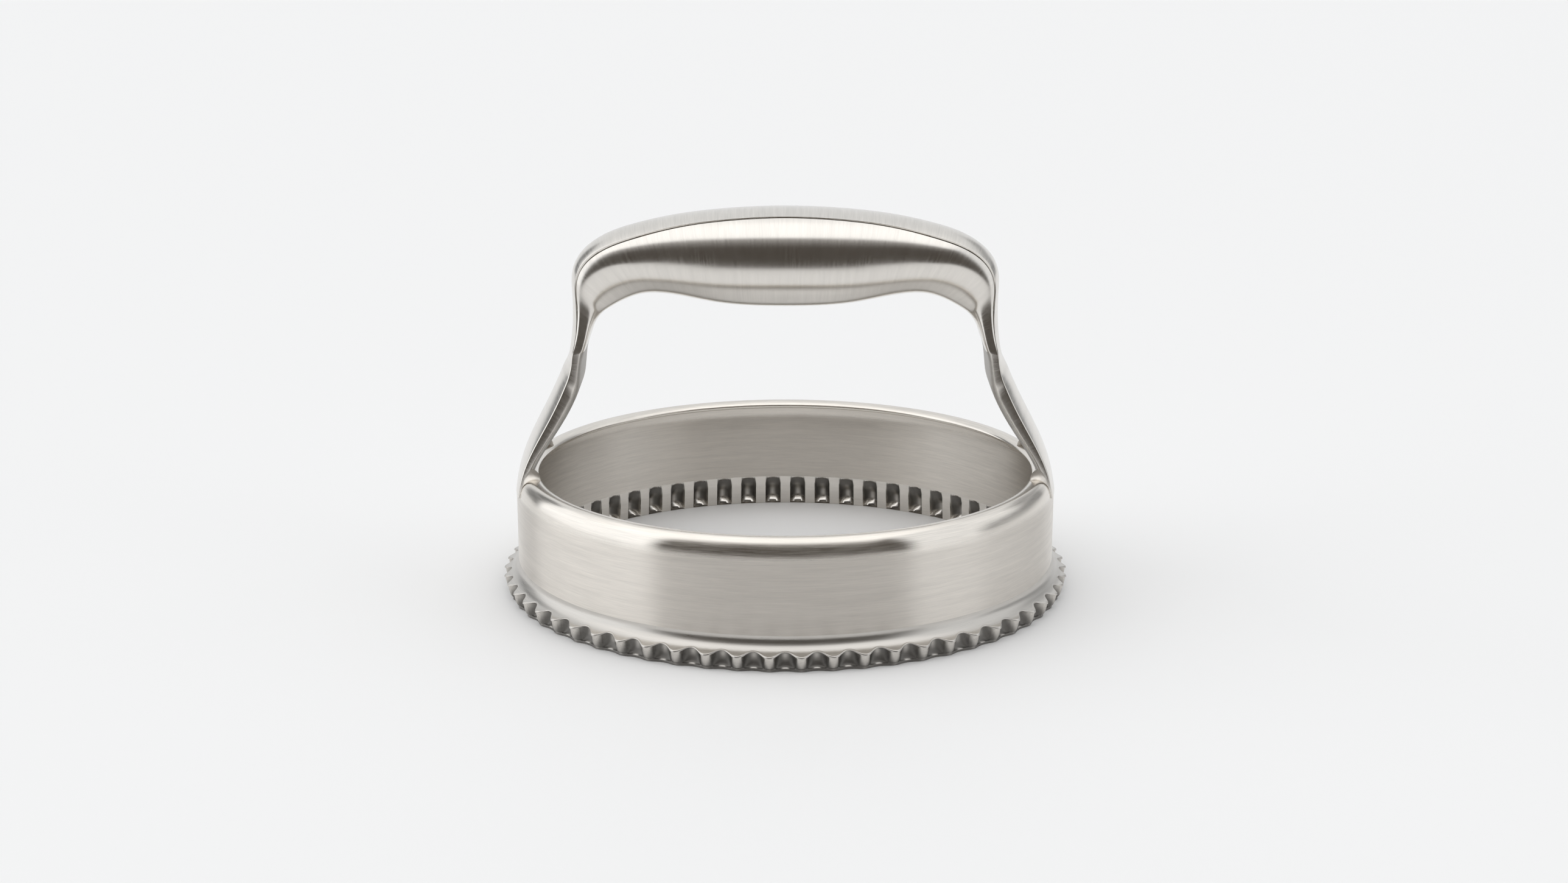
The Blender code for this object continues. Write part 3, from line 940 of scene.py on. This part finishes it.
def steel(
    name, lines_vector, roughness, smear=0.0, turned=0.0,
    uv_smear=False, depth=1.0, bite=0.16, colour=WARM_STEEL,
):
    """A brushed steel. lines_vector and roughness build sockets in the node tree."""
    material = bpy.data.materials.new(name)
    material.use_nodes = True
    tree = material.node_tree
    shader = tree.nodes["Principled BSDF"]
    spot = add_node(tree, "ShaderNodeTexCoord")
    ground = add_node(tree, "ShaderNodeGroup", node_tree=grind)
    ground.inputs["Depth"].default_value = depth
    tree.links.new(lines_vector(tree, spot), ground.inputs["Vector"])
    held = add_node(tree, "ShaderNodeGroup", node_tree=handling)
    tree.links.new(spot.outputs["Object"], held.inputs["Vector"])
    lines, streaks = ground.outputs["Lines"], ground.outputs["Streaks"]
    worn = (held.outputs["Clouds"], CLOUD_BITE)
    rough = summed(tree, roughness(tree, spot), worn, (lines, bite))
    tree.links.new(rough, shader.inputs["Roughness"])
    shade = summed(tree, 1.0, (lines, LINE_SHADE), (streaks, STREAK_SHADE))
    tree.links.new(scaled(tree, colour, shade), shader.inputs["Base Color"])
    bump = add_node(tree, "ShaderNodeBump")
    bump.inputs["Strength"].default_value = BUMP_STRENGTH
    bump.inputs["Distance"].default_value = BUMP_HEIGHT
    tree.links.new(lines, bump.inputs["Height"])
    tree.links.new(bump.outputs["Normal"], shader.inputs["Normal"])
    smear_way = add_node(tree, "ShaderNodeTangent", direction_type="RADIAL", axis="Z")
    if uv_smear:
        smear_way.direction_type = "UV_MAP"
        smear_way.uv_map = "along_and_round"
    tree.links.new(smear_way.outputs["Tangent"], shader.inputs["Tangent"])
    shader.inputs["Metallic"].default_value = 1.0
    shader.inputs["Anisotropic"].default_value = smear
    shader.inputs["Anisotropic Rotation"].default_value = turned
    print(name, "has", len(tree.nodes), "nodes")
    return material


# %% How the scratches run on each piece
GRIP_SPACING = 0.85


def round_the_ring(tree, spot):
    """On the ring they run round the axis: across them are height and radius."""
    x, y, height = separated(tree, spot.outputs["Object"])
    squares = scalar(tree, "ADD", scalar(tree, "POWER", x, 2.0), scalar(tree, "POWER", y, 2.0))
    across = scalar(tree, "SUBTRACT", height, scalar(tree, "SQRT", squares))
    joined = add_node(tree, "ShaderNodeCombineXYZ")
    for name, socket in zip("XYZ", (x, y, across)):
        tree.links.new(socket, joined.inputs[name])
    return joined.outputs["Vector"]


def round_the_grip(tree, spot):
    """On the grip they run round it: U, along the handle, is across them."""
    u, v, _ = separated(tree, spot.outputs["UV"])
    joined = add_node(tree, "ShaderNodeCombineXYZ")
    tree.links.new(v, joined.inputs["X"])
    tree.links.new(product(tree, u, GRIP_SPACING), joined.inputs["Z"])
    return joined.outputs["Vector"]


# %% The steels, and how rough each is
SATIN, POLISHED = 0.38, 0.17
POLISH_FROM, POLISH_TO = 14.6 * MM, 16.0 * MM


def band_roughness(tree, spot):
    """The wall is satin, and the rolled rim is polished."""
    height = separated(tree, spot.outputs["Object"])[2]
    return faded(tree, height, POLISH_FROM, POLISH_TO, SATIN, POLISHED)


def even(value):
    """The same roughness all over."""
    return lambda tree, spot: scalar(tree, "ADD", value, 0.0)


FLUTE_FINISH = dict(depth=0.7, colour=CLEAR_STEEL)
HANDLE_FINISH = dict(smear=0.5, uv_smear=True, depth=0.8, bite=0.24, colour=CLEAR_STEEL)
steels = [
    (band, steel("satin_band", round_the_ring, band_roughness, smear=1.0, turned=0.25)),
    (flutes, steel("polished_flutes", round_the_ring, even(0.2), **FLUTE_FINISH)),
    (strap, steel("satin_strap", round_the_grip, even(0.22), **HANDLE_FINISH)),
    (shell, steel("satin_grip", round_the_grip, even(0.22), **HANDLE_FINISH)),
]
bead_steel = steel("polished_bead", round_the_ring, even(0.45), depth=0.6)
for piece, material in steels + [(weld, bead_steel) for weld in welds]:
    piece.data.materials.append(material)

# %% Paint shade into the colour, and make the metal duller, where the attribute is low
def paint_shade_and_dullness(piece, darkest, dullest):
    tree = piece.data.materials[0].node_tree
    shader = tree.nodes["Principled BSDF"]
    light_and_polish = add_node(tree, "ShaderNodeAttribute", attribute_name="polish_and_painted_light")
    shade = add_node(tree, "ShaderNodeMapRange")
    tree.links.new(light_and_polish.outputs["Fac"], shade.inputs["Value"])
    shade.inputs["To Min"].default_value = darkest
    tint = shader.inputs["Base Color"].links[0].from_socket
    # The darker colour is painted shade
    darker = scaled(tree, tint, shade.outputs["Result"])
    tree.links.new(darker, shader.inputs["Base Color"])
    dull_share = scalar(tree, "SUBTRACT", 1.0, light_and_polish.outputs["Fac"])
    polish = shader.inputs["Roughness"].links[0].from_socket
    tree.links.new(summed(tree, polish, (dull_share, dullest)), shader.inputs["Roughness"])


# Painted shade in the flutes' grooves and pockets and on the legs' inner faces
paint_shade_and_dullness(flutes, darkest=0.3, dullest=0.3)
paint_shade_and_dullness(strap, darkest=0.62, dullest=0.3)
print(len(bpy.data.materials), "materials")

# %% [markdown]
# ## The table
#
# The cutter stands on a wide matt white table. It reaches past the picture on every side,
# so it is the background too. It ends a little behind the camera, because the steel must
# mirror the dark room there and not more table.

# %% Table
TABLE_HALF, TABLE_SHIFT, TABLE_DROP = 5.0, 4.6, 0.00001
TABLE_FINISH = {
    "Base Color": (0.95, 0.95, 0.95, 1),
    "Roughness": 0.7,
    "Specular IOR Level": 0.2,
}

shape = bmesh.new()
bmesh.ops.create_grid(shape, x_segments=1, y_segments=1, size=TABLE_HALF)
bmesh.ops.translate(shape, verts=shape.verts, vec=(0, TABLE_SHIFT, -TABLE_DROP))
table_mesh = bpy.data.meshes.new("table")
shape.to_mesh(table_mesh)
shape.free()
table = bpy.data.objects.new("table", table_mesh)
bpy.context.scene.collection.objects.link(table)
matt_white = bpy.data.materials.new("white_table")
matt_white.use_nodes = True
for title, value in TABLE_FINISH.items():
    matt_white.node_tree.nodes["Principled BSDF"].inputs[title].default_value = value
table_mesh.materials.append(matt_white)
table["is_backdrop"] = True
print("the table is", 2 * TABLE_HALF, "m wide")

# %% [markdown]
# ## The studio
#
# Steel looks like what is around it. The studio is painted on the world, by direction: one
# wide soft light overhead, pale walls at the sides and behind, and the unlit room on the
# camera's side, which draws the dark bands along the grip, the rim and the cove. Only the
# steel sees this room. Whoever looks past the table from another side sees a pale backdrop.

# %% Directions in the studio
world = bpy.data.worlds.new("studio")
bpy.context.scene.world = world
world.use_nodes = True
tree = world.node_tree
x, y, z = separated(tree, add_node(tree, "ShaderNodeTexCoord").outputs["Generated"])
toward = scalar(tree, "MULTIPLY", y, -1.0)
heading = scalar(tree, "DIVIDE", scalar(tree, "ARCTAN2", x, toward), math.tau)
turned = scalar(tree, "ADD", heading, 0.5)
height = scalar(tree, "MAXIMUM", z, 0.001)
sideways = scalar(tree, "DIVIDE", x, height)
back = scalar(tree, "DIVIDE", y, height)


def fade(value, *marks):
    return faded(tree, value, *marks)


def rest_of(share):
    return scalar(tree, "SUBTRACT", 1.0, share)


print("directions take", len(tree.nodes), "nodes")

# %% The room's walls: marks of (degrees, level), with 0 on the camera's side
WALL_LIGHT = (
    (-180, 0.85), (-130, 0.88), (-124, 1.32), (-60, 1.32), (-52, 0.07),
    (50, 0.07), (58, 1.0), (116, 1.0), (130, 0.85), (180, 0.85),
)
# Darker gaps between the panels, halfway up the walls and low down
GAP_SHADE = (
    (-180, 0.0), (-147, 0.0), (-141, 0.8), (-130, 0.8), (-124, 0.0),
    (118, 0.0), (126, 0.5), (150, 0.5), (158, 0.0), (180, 0.0),
)
LOW_SHADE = (
    (-180, 0.0), (-146, 0.0), (-141, 0.75), (-129, 0.75), (-123, 0.0),
    (84, 0.0), (94, 0.65), (138, 0.65), (145, 0.0), (180, 0.0),
)


def wall_warmth(level):
    """The unlit room is warm, and the lit panels are a little cool."""
    return 0.14 if level < 0.5 else -0.015


def ramp(marks, warmth=lambda level: 0.0):
    """A colour ramp over the heading, from marks of (degrees, level)."""
    node = add_node(tree, "ShaderNodeValToRGB")
    tree.links.new(turned, node.inputs["Fac"])
    stops = node.color_ramp.elements
    for degrees, level in marks[1:-1]:
        stops.new((degrees + 180) / 360)
    for stop, (degrees, level) in zip(stops, marks):
        stop.position = (degrees + 180) / 360
        warm = warmth(level)
        stop.color = (level * (1 + warm), level, level * (1 - warm), 1)
    return node.outputs["Color"]


halfway_up = product(tree, fade(z, 0.2, 0.34), fade(z, 0.48, 0.58, 1.0, 0.0))
gap = product(tree, ramp(GAP_SHADE), halfway_up)
low = product(tree, ramp(LOW_SHADE), fade(z, 0.22, 0.3, 1.0, 0.0))
unshaded = product(tree, rest_of(gap), rest_of(low))
walls = ramp(WALL_LIGHT, wall_warmth)
print("the walls are painted with", len(tree.nodes), "nodes")

# %% The soft light overhead, brightest towards its front edge, with a faint fringe there
GLOW_FRONT, GLOW_BACK = 1.42, 1.12
FRINGE_LEVEL = 0.24

across = product(tree, fade(sideways, -1.6, -1.4), fade(sideways, 0.62, 0.8, 1.0, 0.0))
front_edge = fade(back, -0.74, -0.66)
softbox = product(tree, across, front_edge, fade(back, 0.05, 0.95, 1.0, 0.0))
glow = product(tree, softbox, fade(back, 0.05, 0.5, GLOW_FRONT, GLOW_BACK))
rise = fade(back, -1.9, -0.66)
fringe = product(tree, rise, rise, across, FRINGE_LEVEL, rest_of(front_edge))
room = scaled(tree, walls, product(tree, rest_of(softbox), unshaded))
level = add_node(tree, "ShaderNodeVectorMath", operation="ADD")
tree.links.new(room, level.inputs[0])
tree.links.new(scalar(tree, "ADD", glow, fringe), level.inputs[1])
tree.links.new(level.outputs["Vector"], tree.nodes["Background"].inputs["Color"])
print("with the soft light there are", len(tree.nodes), "nodes")

# %% Past the table's edge, the eye sees a plain backdrop as pale as the table
BACKDROP = (0.89, 0.9, 0.9, 1.0)

backdrop = add_node(tree, "ShaderNodeBackground")
backdrop.inputs["Color"].default_value = BACKDROP
looked_at = add_node(tree, "ShaderNodeLightPath").outputs["Is Camera Ray"]
seen = add_node(tree, "ShaderNodeMixShader")
tree.links.new(looked_at, seen.inputs["Fac"])
tree.links.new(tree.nodes["Background"].outputs["Background"], seen.inputs[1])
tree.links.new(backdrop.outputs["Background"], seen.inputs[2])
tree.links.new(seen.outputs["Shader"], tree.nodes["World Output"].inputs["Surface"])
print("studio painted with", len(tree.nodes), "nodes")

# %% [markdown]
# ## The size of the dressed model
#
# The dressed model's box, without the table, is printed in millimetres. The dressed
# model must not outgrow the frame.

# %% Size of the dressed model
low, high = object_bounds()
print("the dressed model's box", [round(1000 * side, 2) for side in high - low], "mm")
